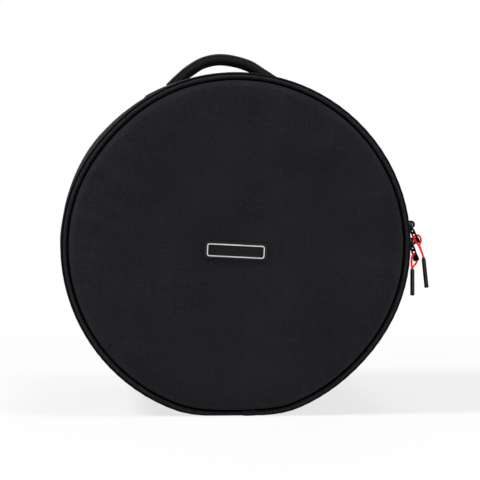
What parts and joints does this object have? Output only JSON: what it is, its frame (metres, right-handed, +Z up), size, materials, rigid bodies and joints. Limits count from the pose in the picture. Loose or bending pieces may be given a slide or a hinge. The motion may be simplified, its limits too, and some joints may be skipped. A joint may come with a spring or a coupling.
{
  "type": "tom drum bag",
  "caption": "Round padded soft case for a tom drum, standing on its edge, with a zip-open round lid, carry handle, piped rims, a bare name plate and corded zip pulls.",
  "frame": {"origin": "centre of the flattened lower edge that the bag stands on, midway between its front and back piping", "axes": "+Z up, -Y out of the round lid face, +X to the right seen from the front, where the zip sliders are"},
  "size_m": [0.4461, 0.4187, 0.4419],
  "materials": {
    "woven_fabric": "coarse woven polyester, dark blue grey",
    "padding": "closed-cell foam sheet",
    "lining": "smooth tricot lining",
    "webbing": "ribbed woven tape",
    "zip_plastic": "black moulded coil",
    "slider_metal": "black enamelled zinc",
    "badge_rubber": "soft moulded rubber",
    "badge_silver": "silver printed rim",
    "pull_cord": "braided cord",
    "grip_rubber": "smooth heat-shrunk sleeve"
  },
  "bodies": {
    "bag": {"body_side_shell": "woven_fabric", "body_side_foam": "padding", "body_side_lining": "lining", "body_mouth_binding": "webbing", "body_zip_tape": "webbing", "body_zip_teeth": "zip_plastic", "back_panel_shell": "woven_fabric", "back_panel_foam": "padding", "back_panel_lining": "lining", "back_piping": "webbing", "back_piping_joint": "webbing", "hinge_strip": "webbing", "hinge_lining": "lining", "handle_anchor_left": "webbing", "handle_anchor_right": "webbing", "handle_end_left": "woven_fabric", "handle_end_right": "woven_fabric"},
    "lid": {"lid_panel_shell": "woven_fabric", "lid_panel_foam": "padding", "lid_panel_lining": "lining", "lid_piping": "webbing", "lid_piping_joint": "webbing", "lid_side_shell": "woven_fabric", "lid_side_foam": "padding", "lid_side_lining": "lining", "lid_mouth_binding": "webbing", "lid_zip_tape": "webbing", "lid_zip_teeth": "zip_plastic", "badge_backing": "badge_rubber", "badge_border": "badge_silver"},
    "handle": {"handle_pad": "woven_fabric", "handle_webbing": "webbing"},
    "upper_zip_slider": {"upper_slider": "slider_metal"},
    "upper_tab": {"upper_pull_tab": "slider_metal", "upper_pull_cord": "pull_cord"},
    "upper_grip": {"upper_cord_grip": "grip_rubber"},
    "lower_zip_slider": {"lower_slider": "slider_metal"},
    "lower_tab": {"lower_pull_tab": "slider_metal", "lower_pull_cord": "pull_cord"},
    "lower_grip": {"lower_cord_grip": "grip_rubber"}
  },
  "joints": [
    {"name": "lid_hinge", "type": "hinge", "parent": "bag", "child": "lid", "pos_m": [-0.2112, -0.175, 0.2046], "axis": [0, 0, -1], "range_deg": [0, 165], "deforming": ["hinge_strip", "hinge_lining"]},
    {"name": "handle_tilt", "type": "hinge", "parent": "bag", "child": "handle", "pos_m": [0, 0, 0.4046], "axis": [1, 0, 0], "range_deg": [-20, 20], "deforming": ["handle_end_left", "handle_end_right"]},
    {"name": "upper_slider_travel", "type": "hinge", "parent": "bag", "child": "upper_zip_slider", "pos_m": [0, -0.175, 0.2046], "axis": [0, -1, 0], "range_deg": [0, 145]},
    {"name": "upper_tab_swing", "type": "hinge", "parent": "upper_zip_slider", "child": "upper_tab", "pos_m": [0.21248, -0.175, 0.2292], "axis": [0, 1, 0], "range_deg": [-140, 0], "deforming": ["upper_pull_cord"]},
    {"name": "upper_grip_swing", "type": "hinge", "parent": "upper_tab", "child": "upper_grip", "pos_m": [0.22348, -0.1732, 0.204], "axis": [0, -1, 0], "range_deg": [-8, 60], "deforming": ["upper_pull_cord"]},
    {"name": "lower_slider_travel", "type": "hinge", "parent": "bag", "child": "lower_zip_slider", "pos_m": [0, -0.175, 0.2046], "axis": [0, 1, 0], "range_deg": [0, 42]},
    {"name": "lower_tab_swing", "type": "hinge", "parent": "lower_zip_slider", "child": "lower_tab", "pos_m": [0.21386, -0.175, 0.2087], "axis": [0, 1, 0], "range_deg": [-12, 0], "deforming": ["lower_pull_cord"]},
    {"name": "lower_grip_swing", "type": "hinge", "parent": "lower_tab", "child": "lower_grip", "pos_m": [0.21566, -0.1765, 0.1786], "axis": [0, -1, 0], "range_deg": [-10, 60], "deforming": ["lower_pull_cord"]}
  ]
}
